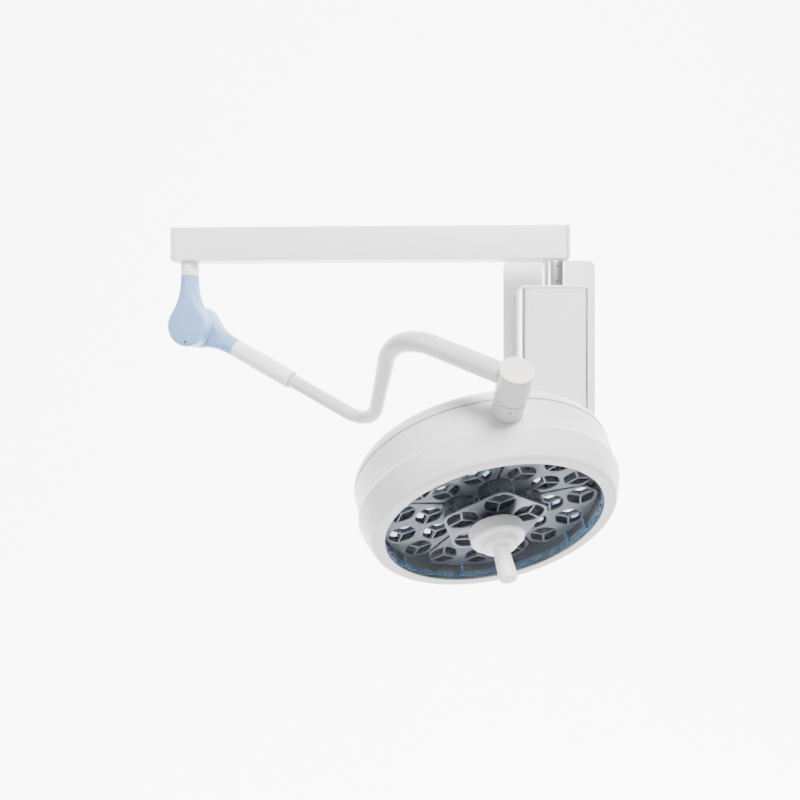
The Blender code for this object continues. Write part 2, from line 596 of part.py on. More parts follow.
def build_lower_hub(head, lamp, shell):
    foot = SEAM_RADIUS - 0.012
    lower = turned("hub_lower", [(0, HUB_SEAM - GAP), (HUB_LOWER_RADIUS, HUB_SEAM - GAP),
                                 (HUB_LOWER_RADIUS, foot), (0, foot)], head,
                   look="white_paint", steps=32)
    pin = rod("hub_spindle", HUB_SPINDLE_RADIUS, 0.052, head, (0, 0, HUB_SEAM - 0.002), sides=32)
    join(lower, pin)
    opening = rod("hub_opening", HUB_LOWER_RADIUS + GAP, 0.08, head, (0, 0, foot - 0.03),
                  sides=32)
    cut(shell, opening)
    cut(bpy.data.objects["back_cover"], opening)
    cut(bpy.data.objects["seam_gasket"], opening)
    # Small set screw in the lower hub, facing the room.
    spot = math.radians(-12)
    away = Vector((math.cos(spot), math.sin(spot), 0))
    place = away * (HUB_LOWER_RADIUS - 0.0045) + Vector((0, 0, HUB_SEAM - 0.014))
    turn = (0, 90, math.degrees(spot))
    cut(lower, rod("hub_screw_hole", 0.0023, 0.012, head,
                   away * (HUB_LOWER_RADIUS - 0.0050) + Vector((0, 0, HUB_SEAM - 0.014)), turn,
                   sides=16))
    screw("hub_screw", head, place, turn, 0.0020, 0.0025, "black_screw")


def petal_outline(half, inner, outer, corner=0.006):
    """Sector about +X between two radii, half wide each side; angles in degrees."""
    near, far = math.degrees(corner / inner), math.degrees(corner / outer)
    out = arc(0, 0, outer, far - half, half - far, 9)
    back = arc(0, 0, inner, half - near, near - half, 5)
    return out + back


def rounded_pentagon(reach, corner, count=4):
    """Regular pentagon with rounded corners, one of them towards -X."""
    points = []
    for index in range(PETALS):
        middle = 180 + index * 360 / PETALS
        spot = math.radians(middle)
        points += arc(reach * math.cos(spot), reach * math.sin(spot), corner,
                      middle - 180 / PETALS, middle + 180 / PETALS, count)
    return points


def build_light_engine(lamp):
    """LED carriers, circuit board, heat sink and the handle's socket."""
    centre = slab("led_carrier_centre", rounded_pentagon(0.084, 0.026), 0.004, lamp,
                  (0, 0, CENTRE_CARRIER_Z), look="led_grey")
    cut(centre, rod("socket_hole", 0.0205, 0.05, lamp, (0, 0, CENTRE_CARRIER_Z - 0.02),
                    sides=32))
    for index in range(PETALS):
        middle = 180 + (index + 0.5) * 360 / PETALS
        slab("led_carrier_%d" % (index + 1), petal_outline(180 / PETALS - 0.7, 0.050, 0.211),
             0.004, lamp, (0, 0, PETAL_AXIS_Z), (0, -PETAL_DISH, middle), look="led_grey")
    ring("led_board", 0.205, 0.022, 0.0025, lamp, (0, 0, -0.090), look="board_green", steps=40)
    ring("heat_sink", 0.190, 0.022, 0.014, lamp, (0, 0, -0.1045), look="aluminium", steps=28)
    ring("handle_socket", 0.0195, 0.0100, 0.070, lamp, (0, 0, -0.090), look="steel", steps=32)


def build_handle(lamp):
    """Pull-off sterilisable handle: flange, stepped collar and tapered grip on a stud."""
    grip_end = 0.113
    profile = [(0, grip_end), (0.0150, grip_end), (0.0170, grip_end - 0.0020),
               (0.0178, 0.105), (0.0160, 0.050), (0.0170, 0.0450), (0.0330, 0.0440),
               (0.0360, 0.0420), (0.0370, 0.0330), (0.0500, 0.0300), (0.0530, 0.0265),
               (0.0545, 0.0020), (0.0530, 0.0005), (0.0090, 0.0005), (0.0085, -0.050),
               (0, -0.050)]
    grip = turned("handle", profile[::-1], lamp, look="handle_white", steps=36)
    dimple = bmesh.new()
    bmesh.ops.create_uvsphere(dimple, u_segments=16, v_segments=8, radius=0.008)
    cut(grip, add_mesh("handle_dimple", dimple, lamp, (0, 0, grip_end + 0.0055), (0, 0, 0), None))


base_frame = build_wall_mount()
build_housing_contents(base_frame)
build_column(base_frame)
arm_frame = build_arm()
swivel_frame = build_swivel(arm_frame)
spring_frame, rod_size = build_spring_arm(swivel_frame)
build_balance(spring_frame, rod_size)
yoke_frame = build_yoke(spring_frame)
hub_frame = build_hub(yoke_frame)
head_frame, lamp_frame, head_shell = build_head(hub_frame)
build_lower_hub(head_frame, lamp_frame, head_shell)
build_light_engine(lamp_frame)
build_handle(lamp_frame)
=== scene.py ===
"""Looks of the wall-mounted dental operating light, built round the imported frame."""
import json
import math

import bmesh
import bpy
from mathutils import Matrix, Vector


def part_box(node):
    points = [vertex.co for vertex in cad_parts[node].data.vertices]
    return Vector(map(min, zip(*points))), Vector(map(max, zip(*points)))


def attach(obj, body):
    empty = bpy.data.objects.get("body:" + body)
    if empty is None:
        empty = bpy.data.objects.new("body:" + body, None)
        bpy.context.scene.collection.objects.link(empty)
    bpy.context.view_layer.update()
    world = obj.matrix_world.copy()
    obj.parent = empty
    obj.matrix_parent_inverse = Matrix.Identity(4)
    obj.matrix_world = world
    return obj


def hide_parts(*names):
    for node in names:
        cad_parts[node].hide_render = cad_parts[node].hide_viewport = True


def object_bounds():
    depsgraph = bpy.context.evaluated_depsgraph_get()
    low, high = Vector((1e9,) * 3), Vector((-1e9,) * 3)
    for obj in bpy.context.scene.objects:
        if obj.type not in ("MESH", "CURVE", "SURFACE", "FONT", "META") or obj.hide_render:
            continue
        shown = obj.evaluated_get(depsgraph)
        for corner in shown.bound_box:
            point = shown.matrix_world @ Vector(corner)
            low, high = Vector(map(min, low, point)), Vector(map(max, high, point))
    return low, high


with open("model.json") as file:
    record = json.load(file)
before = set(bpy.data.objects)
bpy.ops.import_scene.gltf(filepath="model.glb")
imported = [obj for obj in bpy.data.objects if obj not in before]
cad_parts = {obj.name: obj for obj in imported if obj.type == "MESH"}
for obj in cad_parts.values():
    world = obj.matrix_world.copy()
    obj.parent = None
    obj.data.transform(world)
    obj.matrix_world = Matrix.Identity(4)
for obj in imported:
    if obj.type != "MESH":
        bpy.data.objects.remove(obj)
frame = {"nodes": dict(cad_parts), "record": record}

CAD_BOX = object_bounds()
NODES = frame["nodes"]
RECORD = frame["record"]
JOINTS = {joint["name"]: joint for joint in RECORD["behaviour"]["joints"]}
UP = Vector((0, 0, 1))


# ---------------------------------------------------------------- frames of the links
def joint_point(name):
    return Vector(JOINTS[name]["pos_m"])


def joint_axis(name):
    return Vector(JOINTS[name]["axis"]).normalized()


def frame_matrix(origin, x, y, z):
    """A link's own frame from its origin and three unit axes."""
    matrix = Matrix((x, y, z)).transposed().to_4x4()
    matrix.translation = origin
    return matrix


def local_points(node, matrix):
    inverse = matrix.inverted()
    return [inverse @ vertex.co for vertex in NODES[node].data.vertices]


def span(node, matrix, axis):
    """Lowest and highest reach of a CAD node along one axis (0, 1 or 2) of a link's frame."""
    values = [point[axis] for point in local_points(node, matrix)]
    return min(values), max(values)


def girth(node, matrix, axis=2):
    """Largest radius of a CAD node about one axis of a link's frame."""
    others = [index for index in range(3) if index != axis]
    return max(math.hypot(point[others[0]], point[others[1]])
               for point in local_points(node, matrix))


WORLD = Matrix.Identity(4)
column_foot = joint_point("arm_swing")
arm_x = (joint_point("knuckle_swivel") - column_foot).normalized()
COLUMN = frame_matrix(Vector((column_foot.x, column_foot.y, 0)), Vector((1, 0, 0)),
                      Vector((0, 1, 0)), UP)
ARM = frame_matrix(column_foot, arm_x, UP.cross(arm_x), UP)
tilt_y = joint_axis("arm_tilt")
SWIVEL = frame_matrix(joint_point("knuckle_swivel"), tilt_y.cross(UP), tilt_y, UP)
roll_x = joint_axis("yoke_roll")
SPRING = frame_matrix(joint_point("arm_tilt"), roll_x, tilt_y, roll_x.cross(tilt_y))
hub_z = joint_axis("head_tilt")
yoke_y = hub_z.cross(roll_x).normalized()
YOKE = frame_matrix(joint_point("arm_tilt"), roll_x, yoke_y, roll_x.cross(yoke_y))
HUB = frame_matrix(joint_point("head_tilt"), yoke_y.cross(hub_z), yoke_y, hub_z)
lamp_z = joint_axis("handle_pull")
lamp_x = -(hub_z - lamp_z * hub_z.dot(lamp_z)).normalized()
GLASS_DEPTH = 0.0045              # window glass sits this far behind the bezel's lip
glass = NODES["window_glass"].data.vertices
lamp_origin = sum((vertex.co for vertex in glass), Vector()) / len(glass)
LAMP = frame_matrix(lamp_origin, lamp_x, lamp_z.cross(lamp_x), lamp_z)
LAMP.translation += lamp_z * (span("window_glass", LAMP, 2)[1] + GLASS_DEPTH)


# ---------------------------------------------------------------- materials
class Nodes:
    """Small helper that wires one Principled material."""

    def __init__(self, name):
        self.material = bpy.data.materials.new(name)
        self.material.use_nodes = True
        self.tree = self.material.node_tree
        self.shader = self.tree.nodes["Principled BSDF"]

    def node(self, kind, **values):
        node = self.tree.nodes.new(kind)
        for key, value in values.items():
            if hasattr(node, key):
                setattr(node, key, value)
            else:
                node.inputs[key.replace("_", " ")].default_value = value
        return node

    def link(self, source, target):
        self.tree.links.new(source, target)

    def coords(self, scale=(1, 1, 1)):
        place = self.node("ShaderNodeTexCoord")
        mapping = self.node("ShaderNodeMapping")
        mapping.inputs["Scale"].default_value = scale
        self.link(place.outputs["Object"], mapping.inputs["Vector"])
        return mapping.outputs["Vector"]

    def noise(self, scale, detail=3.0, stretch=(1, 1, 1), rough=0.5):
        noise = self.node("ShaderNodeTexNoise")
        noise.inputs["Scale"].default_value = scale
        noise.inputs["Detail"].default_value = detail
        noise.inputs["Roughness"].default_value = rough
        self.link(self.coords(stretch), noise.inputs["Vector"])
        return noise.outputs["Fac"]

    def ramp(self, source, stops):
        ramp = self.node("ShaderNodeValToRGB")
        elements = ramp.color_ramp.elements
        while len(elements) < len(stops):
            elements.new(0.5)
        for element, (place, colour) in zip(elements, stops):
            element.position = place
            element.color = (*colour, 1.0)
        self.link(source, ramp.inputs["Fac"])
        return ramp.outputs["Color"]

    def spread(self, source, low, high):
        spread = self.node("ShaderNodeMapRange")
        spread.inputs["To Min"].default_value = low
        spread.inputs["To Max"].default_value = high
        self.link(source, spread.inputs["Value"])
        return spread.outputs["Result"]

    def bump(self, source, strength, distance=0.0004):
        bump = self.node("ShaderNodeBump")
        bump.inputs["Strength"].default_value = strength
        bump.inputs["Distance"].default_value = distance
        self.link(source, bump.inputs["Height"])
        self.link(bump.outputs["Normal"], self.shader.inputs["Normal"])


def shade(colour, factor):
    return tuple(min(1.0, channel * factor) for channel in colour)


def coating(name, colour, rough, peel=0.12, coat=0.0, metal=0.0, vary=0.03, grain=700.0,
            shine=0.5):
    """Paint or moulded plastic: faint cloudy tint, uneven gloss and a fine surface grain."""
    nodes = Nodes(name)
    cloud = nodes.noise(9.0, 4.0)
    nodes.link(nodes.ramp(cloud, [(0.3, shade(colour, 1 - vary)), (0.7, shade(colour, 1 + vary))]),
               nodes.shader.inputs["Base Color"])
    smear = nodes.noise(38.0, 5.0, rough=0.6)
    nodes.link(nodes.spread(smear, rough * 0.8, rough * 1.2), nodes.shader.inputs["Roughness"])
    nodes.shader.inputs["Metallic"].default_value = metal
    nodes.shader.inputs["Specular IOR Level"].default_value = shine
    nodes.shader.inputs["Coat Weight"].default_value = coat
    nodes.shader.inputs["Coat Roughness"].default_value = 0.08
    nodes.bump(nodes.noise(grain, 2.0), peel)
    return nodes.material


def brushed(name, colour, rough, stretch, metal=1.0):
    """Drawn or turned metal: streaks along one direction in colour, gloss and height."""
    nodes = Nodes(name)
    streak = nodes.noise(1.0, 4.0, stretch, 0.65)
    nodes.link(nodes.ramp(streak, [(0.25, shade(colour, 0.86)), (0.75, shade(colour, 1.08))]),
               nodes.shader.inputs["Base Color"])
    nodes.link(nodes.spread(streak, rough * 0.75, rough * 1.3), nodes.shader.inputs["Roughness"])
    nodes.shader.inputs["Metallic"].default_value = metal
    nodes.bump(streak, 0.15, 0.0002)
    return nodes.material


def window_material():
    """Clear cover glass with a trace of wiping marks."""
    nodes = Nodes("window_glass_clear")
    wipe = nodes.noise(14.0, 6.0, (1, 4, 1), 0.7)
    nodes.link(nodes.ramp(wipe, [(0.3, (0.05, 0.07, 0.10)), (0.7, (0.09, 0.12, 0.16))]),
               nodes.shader.inputs["Base Color"])
    nodes.link(nodes.spread(wipe, 0.02, 0.10), nodes.shader.inputs["Roughness"])
    nodes.link(nodes.spread(wipe, 0.03, 0.06), nodes.shader.inputs["Alpha"])
    nodes.shader.inputs["Specular IOR Level"].default_value = 0.35
    return nodes.material


def reflector_material(name, low, high, rough):
    """Facet of a reflector cell with fine moulded flutes."""
    nodes = Nodes(name)
    flute = nodes.node("ShaderNodeTexWave", wave_type="BANDS", bands_direction="DIAGONAL")
    flute.inputs["Scale"].default_value = 90.0
    flute.inputs["Distortion"].default_value = 2.5
    flute.inputs["Detail"].default_value = 2.0
    nodes.link(nodes.coords(), flute.inputs["Vector"])
    cloud = nodes.noise(30.0, 3.0)
    blend = nodes.node("ShaderNodeMath", operation="MULTIPLY")
    nodes.link(flute.outputs["Fac"], blend.inputs[0])
    nodes.link(cloud, blend.inputs[1])
    nodes.link(nodes.ramp(blend.outputs["Value"], [(0.1, low), (0.6, high)]),
               nodes.shader.inputs["Base Color"])
    nodes.link(nodes.spread(cloud, rough * 0.7, rough * 1.3), nodes.shader.inputs["Roughness"])
    nodes.shader.inputs["Metallic"].default_value = 0.25
    nodes.bump(flute.outputs["Fac"], 0.35, 0.0006)
    return nodes.material


def painted_glint_material(name, low, high, glow):
    """Painted reflection: a lens facet that glows on its own with a soft internal gradient, standing in for
    a glint.
    """
    nodes = Nodes(name)
    cloud = nodes.noise(60.0, 2.0)
    colour = nodes.ramp(cloud, [(0.3, low), (0.65, high)])
    nodes.link(colour, nodes.shader.inputs["Base Color"])
    nodes.link(colour, nodes.shader.inputs["Emission Color"])
    nodes.link(nodes.spread(cloud, 0.04, 0.16), nodes.shader.inputs["Roughness"])
    # The facet glows though it is no lamp: a painted glint.
    nodes.shader.inputs["Emission Strength"].default_value = glow
    nodes.shader.inputs["Coat Weight"].default_value = 0.8
    return nodes.material


def edge_ring_material():
    """Blue edge of the window's inner wall, with moulding streaks."""
    nodes = Nodes("edge_ring_blue")
    streak = nodes.noise(1.0, 4.0, (60, 60, 8), 0.6)
    nodes.link(nodes.ramp(streak, [(0.25, (0.055, 0.12, 0.21)), (0.75, (0.15, 0.27, 0.42))]),
               nodes.shader.inputs["Base Color"])
    nodes.link(nodes.spread(streak, 0.10, 0.30), nodes.shader.inputs["Roughness"])
    nodes.shader.inputs["Coat Weight"].default_value = 0.5
    return nodes.material


LOOK = {
    "white_paint": coating("wall_paint_white", (0.70, 0.70, 0.71), 0.40),
    "arm_paint": coating("arm_paint_white", (0.78, 0.78, 0.78), 0.36),
    # Painted shade: the bent tube and the hub get darker copies of the white paint, standing in for the
    # shade on them.
    "tube_paint": coating("tube_paint_white_painted_shade", (0.58, 0.57, 0.56), 0.24, 0.06, 0.25, shine=0.4),
    "hub_paint": coating("hub_paint_white_painted_shade", (0.50, 0.495, 0.49), 0.30, 0.06, 0.1, shine=0.3),
    "white_plastic": coating("head_plastic_white", (0.66, 0.66, 0.665), 0.34, 0.08, shine=0.35),
    "warm_white": coating("cap_plastic_warm", (0.72, 0.68, 0.63), 0.42),
    "aluminium": brushed("aluminium_satin", (0.70, 0.71, 0.72), 0.28, (120, 120, 6)),
    "column": brushed("column_satin", (0.74, 0.75, 0.76), 0.26, (90, 90, 3)),
    "heat_sink": coating("heat_sink_dark", (0.03, 0.032, 0.038), 0.5),
    "supply_case": coating("supply_case_grey", (0.20, 0.21, 0.23), 0.5),
    "blue_plastic": coating("knuckle_blue", (0.205, 0.345, 0.60), 0.34, 0.04, 0.05, shine=0.25),
    "steel": brushed("steel_turned", (0.45, 0.46, 0.48), 0.32, (40, 40, 300)),
    "black_screw": coating("screw_black_oxide", (0.006, 0.006, 0.007), 0.6, 0.2, shine=0.1),
    "window": window_material(),
    "led_grey": coating("carrier_grey", (0.085, 0.100, 0.122), 0.36, 0.1, 0.15, 0.35, 0.08),
    "carrier_light": coating("carrier_silver", (0.13, 0.15, 0.18), 0.32, 0.1, 0.2, 0.35, 0.06),
    "board": coating("board_green_mask", (0.02, 0.07, 0.035), 0.45),
    "nylon": coating("nylon_natural", (0.76, 0.76, 0.73), 0.50, 0.15),
    "handle_white": coating("handle_autoclavable", (0.80, 0.79, 0.785), 0.42, 0.10),
    "gasket": coating("gasket_grey", (0.34, 0.34, 0.35), 0.65, 0.3),
    "cell": reflector_material("reflector_cell", (0.006, 0.005, 0.005), (0.045, 0.041, 0.040), 0.3),
    "barrel": coating("barrel_dark", (0.018, 0.020, 0.024), 0.26, 0.1, 0.3, 0.4),
    "inner_wall": coating("inner_wall_lilac", (0.050, 0.056, 0.075), 0.40, 0.1, 0.1, 0.0, 0.10),
    "edge_ring": edge_ring_material(),
    # Painted reflections: white and blue facets that glow on their own in place of glints from a lamp.
    "painted_glint_white": painted_glint_material("painted_glint_white", (0.70, 0.73, 0.76), (1.0, 1.0, 1.0), 1.6),
    "painted_glint_blue": painted_glint_material("painted_glint_blue", (0.10, 0.20, 0.38), (0.42, 0.62, 0.92), 1.1),
}


# ---------------------------------------------------------------- mesh tools
def finish_piece(name, bm, matrix, body, look, replaced=(), sharp=32):
    """Put a mesh into the scene at its link's place, with its look and body."""
    mesh = bpy.data.meshes.new(name)
    move(bm, matrix)
    bmesh.ops.recalc_face_normals(bm, faces=bm.faces)
    bm.to_mesh(mesh)
    bm.free()
    mesh.shade_smooth()
    mesh.set_sharp_from_angle(angle=math.radians(sharp))
    piece = bpy.data.objects.new(name, mesh)
    bpy.context.scene.collection.objects.link(piece)
    mesh.materials.append(LOOK[look])
    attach(piece, body)
    if replaced:
        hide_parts(*replaced)
    return piece


def rounded(points, radius, closed=False, count=5):
    """Replace each corner of a polyline with an arc; radius is one value or one per point."""
    radii = list(radius) if isinstance(radius, (list, tuple)) else [radius] * len(points)
    points = [Vector(point) for point in points]
    result = []
    last = len(points) - 1
    for index, corner in enumerate(points):
        if not closed and index in (0, last) or radii[index] <= 0:
            result.append(corner)
            continue
        before, after = points[index - 1], points[(index + 1) % len(points)]
        to_before, to_after = before - corner, after - corner
        half = to_before.angle(to_after) / 2
        reach = radii[index] / math.tan(half)
        reach = min(reach, 0.48 * to_before.length, 0.48 * to_after.length)
        size = reach * math.tan(half)
        to_before.normalize()
        to_after.normalize()
        centre = corner + (to_before + to_after).normalized() * (size / math.sin(half))
        first = corner + to_before * reach - centre
        final = corner + to_after * reach - centre
        sweep = first.angle(final)
        for step in range(count + 1):
            share = step / count
            result.append(centre + (first * math.sin((1 - share) * sweep)
                                    + final * math.sin(share * sweep)) / math.sin(sweep))
    return result


def lathe(profile, steps=128, closed=True):
    """Solid of revolution about +Z; an open profile starts and ends on the axis."""
    bm = bmesh.new()
    verts = [bm.verts.new((point[0], 0.0, point[1])) for point in profile]
    for first, second in zip(verts, verts[1:]):
        bm.edges.new((first, second))
    if closed:
        bm.edges.new((verts[-1], verts[0]))
    bmesh.ops.spin(bm, geom=bm.verts[:] + bm.edges[:], cent=(0, 0, 0), axis=(0, 0, 1),
                   angle=math.tau, steps=steps, use_merge=True)
    bmesh.ops.remove_doubles(bm, verts=bm.verts, dist=1e-6)
    return bm


def sweep_tube(path, radii, sides):
    """Round solid tube along a path, its radius given at each point."""
    bm = bmesh.new()
    rings = []
    side = Vector((0, 1, 0))
    for index, (point, radius) in enumerate(zip(path, radii)):
        ahead = path[min(index + 1, len(path) - 1)] - path[max(index - 1, 0)]
        ahead.normalize()
        side = (side - ahead * side.dot(ahead)).normalized()
        other = ahead.cross(side)
        rings.append([bm.verts.new(point + (side * math.cos(math.tau * k / sides)
                                            + other * math.sin(math.tau * k / sides)) * radius)
                      for k in range(sides)])
    for first, second in zip(rings, rings[1:]):
        for k in range(sides):
            bm.faces.new((first[k], first[(k + 1) % sides], second[(k + 1) % sides], second[k]))
    bm.faces.new(rings[0])
    bm.faces.new(rings[-1])
    return bm


def block(low, high, bevel=0.001, segments=3):
    """Box between two corners with rounded edges."""
    low, high = Vector(low), Vector(high)
    bm = bmesh.new()
    bmesh.ops.create_cube(bm, size=1.0)
    size = high - low
    for vert in bm.verts:
        vert.co = low + Vector([(vert.co[k] + 0.5) * size[k] for k in range(3)])
    if bevel:
        bmesh.ops.bevel(bm, geom=bm.edges[:], offset=bevel, segments=segments, profile=0.5,
                        affect="EDGES", clamp_overlap=True)
    return bm


def extrude_outline(outline, low, high, bevel=0.0, segments=3, axis=2):
    """Prism from a flat outline, its two rims rounded, standing along Z (or Y for axis 1)."""
    bm = bmesh.new()
    verts = [bm.verts.new((point[0], point[1], low)) for point in outline]
    face = bm.faces.new(verts)
    raised = bmesh.ops.extrude_face_region(bm, geom=[face])
    top = [item for item in raised["geom"] if isinstance(item, bmesh.types.BMVert)]
    bmesh.ops.translate(bm, verts=top, vec=(0, 0, high - low))
    if bevel:
        rims = [edge for edge in bm.edges
                if abs(edge.verts[0].co.z - edge.verts[1].co.z) < 1e-7]
        bmesh.ops.bevel(bm, geom=rims, offset=bevel, segments=segments, profile=0.5,
                        affect="EDGES", clamp_overlap=True)
    if axis == 1:
        bmesh.ops.rotate(bm, verts=bm.verts, cent=(0, 0, 0),
                         matrix=Matrix.Rotation(math.radians(90), 3, "X"))
    return bm


def arc(cx, cy, radius, start, stop, count):
    step = (stop - start) / (count - 1)
    return [(cx + radius * math.cos(math.radians(start + step * i)),
             cy + radius * math.sin(math.radians(start + step * i))) for i in range(count)]


def move(bm, matrix):
    bmesh.ops.transform(bm, matrix=matrix, verts=bm.verts)
    return bm


def merge(*parts):
    """Gather several bmeshes into one."""
    whole = bmesh.new()
    for part in parts:
        mesh = bpy.data.meshes.new("merge")
        part.to_mesh(mesh)
        part.free()
        whole.from_mesh(mesh)
        bpy.data.meshes.remove(mesh)
    return whole


def pierced(outline, holes, low, high, edge):
    """Flat plate with round-edged holes, from a filled 2D curve."""
    curve = bpy.data.curves.new("pierced", "CURVE")
    curve.dimensions = "2D"
    curve.fill_mode = "BOTH"
    curve.extrude = (high - low) / 2 - edge
    curve.bevel_depth = edge
    curve.bevel_resolution = 1
    curve.offset = -edge
    for loop in [outline] + holes:
        line = curve.splines.new("POLY")
        line.points.add(len(loop) - 1)
        for point, spot in zip(line.points, loop):
            point.co = (spot[0], spot[1], 0, 1)
        line.use_cyclic_u = True
    holder = bpy.data.objects.new("pierced", curve)
    bpy.context.scene.collection.objects.link(holder)
    bpy.context.view_layer.update()
    mesh = bpy.data.meshes.new_from_object(
        holder.evaluated_get(bpy.context.evaluated_depsgraph_get()))
    bpy.data.objects.remove(holder, do_unlink=True)
    bpy.data.curves.remove(curve)
    bm = bmesh.new()
    bm.from_mesh(mesh)
    bpy.data.meshes.remove(mesh)
    bmesh.ops.remove_doubles(bm, verts=bm.verts, dist=1e-6)
    bmesh.ops.translate(bm, verts=bm.verts, vec=(0, 0, (low + high) / 2))
    return bm


def middle(node, matrix):
    points = local_points(node, matrix)
    return sum(points, Vector()) / len(points)


def screw_head(radius, depth):
    """Socket screw: a rounded collar round a six-sided recess, its face at z = 0."""
    profile = rounded([(0, -depth), (radius, -depth), (radius, 0), (radius * 0.62, 0),
                       (radius * 0.50, -depth * 0.3), (0, -depth * 0.3)],
                      [0, 0, radius * 0.25, radius * 0.1, 0, 0], False, 3)
    bm = lathe(profile, 36, False)
    for vert in bm.verts:
        distance = math.hypot(vert.co.x, vert.co.y)
        if 1e-6 < distance < radius * 0.60:
            angle = math.atan2(vert.co.y, vert.co.x) % (math.pi / 3) - math.pi / 6
            factor = math.cos(math.pi / 6) / math.cos(angle)
            vert.co.x *= factor
            vert.co.y *= factor
    return bm


# ---------------------------------------------------------------- wall mount and column
PLATE_CORNER = 0.016              # corner radius of the wall plate
COVER_EDGE, COVER_STEP = 0.0065, 0.0016
COLUMN_WALL = 0.0035
COLUMN_SCREWS = ((0.1975, -78), (0.1660, -80))   # height and bearing in degrees


def wall_mount():
    low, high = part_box("wall_plate")
    corner = PLATE_CORNER
    outline = []
    for sx, sz, start in ((1, 1, 0), (-1, 1, 90), (-1, -1, 180), (1, -1, 270)):
        cx = (high.x if sx > 0 else low.x) - sx * corner
        cz = (high.z if sz > 0 else low.z) - sz * corner
        outline += arc(cx, cz, corner, start, start + 90, 9)
    plate = extrude_outline(outline, -high.y, -low.y, 0.0016, 3, axis=1)
    finish_piece("wall_plate_skin", plate, WORLD, "root", "white_paint",
                 ["wall_plate"])

    low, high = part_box("housing_cover")
    # Plan outline of the cover: a quarter-round edge each side and a shallow step beside it.
    front, back = low.y, high.y - 0.0006
    edge, step = COVER_EDGE, COVER_STEP
    mid = (low.x + high.x) / 2
    width = high.x - mid
    half = [(width - 0.0125, front), (width - 0.0118, front + step), (width - 0.0095, front + step)]
    half += [(width - edge + edge * math.sin(math.radians(a)) * 0.98,
              front + edge - edge * math.cos(math.radians(a)) * 0.98)
             for a in (0, 15, 30, 45, 60, 75, 90)]
    half += [(width, back), (width - 0.003, back), (width - 0.003, front + 0.010)]
    outline = [(mid + x, y) for x, y in half] + [(mid - x, y) for x, y in reversed(half)]
    cover = extrude_outline(outline, low.z, high.z)
    finish_piece("housing_cover_skin", cover, WORLD, "root", "white_paint",
                 ["housing_cover"], 25)
    for side in ("left", "right"):
        name = "housing_rail_" + side
        low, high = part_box(name)
        finish_piece(name + "_skin", block(low, high, 0.0018, 4), WORLD, "root", "column",
                     [name])
    low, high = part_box("housing_cap_bottom")
    finish_piece("housing_cap_bottom_skin", block(low, high, 0.0016, 4), WORLD, "root",
                 "white_paint", ["housing_cap_bottom"])


def column():
    low, high = span("column_tube", COLUMN, 2)
    shell = radius = girth("column_tube", COLUMN)
    bore = radius - COLUMN_WALL
    profile = rounded([(radius, low), (radius, high), (bore, high), (bore, low)],
                      0.0008, True, 3)
    finish_piece("column_skin", lathe(profile, 96), COLUMN, "root", "column",
                 ["column_tube"])
    low, high = span("thrust_washer", COLUMN, 2)
    radius = girth("thrust_washer", COLUMN)
    profile = rounded([(radius, low), (radius, high), (radius - 0.005, high),
                       (radius - 0.005, low)], 0.0006, True, 3)
    finish_piece("thrust_washer_skin", lathe(profile, 96), COLUMN, "root", "nylon",
                 ["thrust_washer"])
    for index, (height, bearing) in enumerate(COLUMN_SCREWS):
        place = (COLUMN @ Matrix.Translation((0, 0, height))
                 @ Matrix.Rotation(math.radians(bearing), 4, "Z")
                 @ Matrix.Translation((shell + 0.0002, 0, 0))
                 @ Matrix.Rotation(math.radians(90), 4, "Y"))
        finish_piece("column_set_screw_%d" % (index + 1), screw_head(0.0026, 0.003), place,
                     "root", "black_screw")


# ---------------------------------------------------------------- horizontal arm
def arm():
    low_x, high_x = span("arm_beam", ARM, 0)
    low_y, high_y = span("arm_beam", ARM, 1)
    low_z, high_z = span("arm_beam", ARM, 2)
    beam = block((low_x, low_y, low_z), (high_x, high_y, high_z), 0.0022, 4)
    finish_piece("arm_beam_skin", beam, ARM, "arm", "arm_paint", ["arm_beam"])
    for node in ("arm_cap_column", "arm_cap_swivel"):
        ends = [span(node, ARM, k) for k in range(3)]
        cap = block([e[0] for e in ends], [e[1] for e in ends], 0.0030, 5)
        finish_piece(node + "_skin", cap, ARM, "arm", "white_plastic", [node])


# ---------------------------------------------------------------- knuckles
FLANK_LEAVE = 56                  # bearing in degrees where a flank leaves the disc
RIM_ROUND = 0.0070                # rounding of the casing's rim at the disc
NECK_EXTRA = 0.0055               # the hanging casing's neck is longer than the CAD's by this
PIN_STEP = 0.0033


def teardrop_outline(disc, neck, length, count=56, flank=14):
    """Disc round the hinge whose flanks sweep in to a narrow round neck."""
    leave = math.radians(FLANK_LEAVE)
    start = Vector((disc * math.cos(leave), disc * math.sin(leave)))
    handle = start + Vector((math.sin(leave), -math.cos(leave))) * 0.022
    late = Vector((length * 0.61, neck * 1.02))
    end = Vector((length, neck))
    side = []
    for step in range(flank + 1):
        t = step / flank
        side.append(start * (1 - t) ** 3 + handle * (3 * t * (1 - t) ** 2)
                    + late * (3 * t * t * (1 - t)) + end * t ** 3)
    upper = [(point.x, point.y) for point in side]
    lower = [(x, -y) for x, y in upper]
    return arc(0, 0, disc, FLANK_LEAVE, 360 - FLANK_LEAVE, count)[:-1] + lower + upper[::-1][:-1]


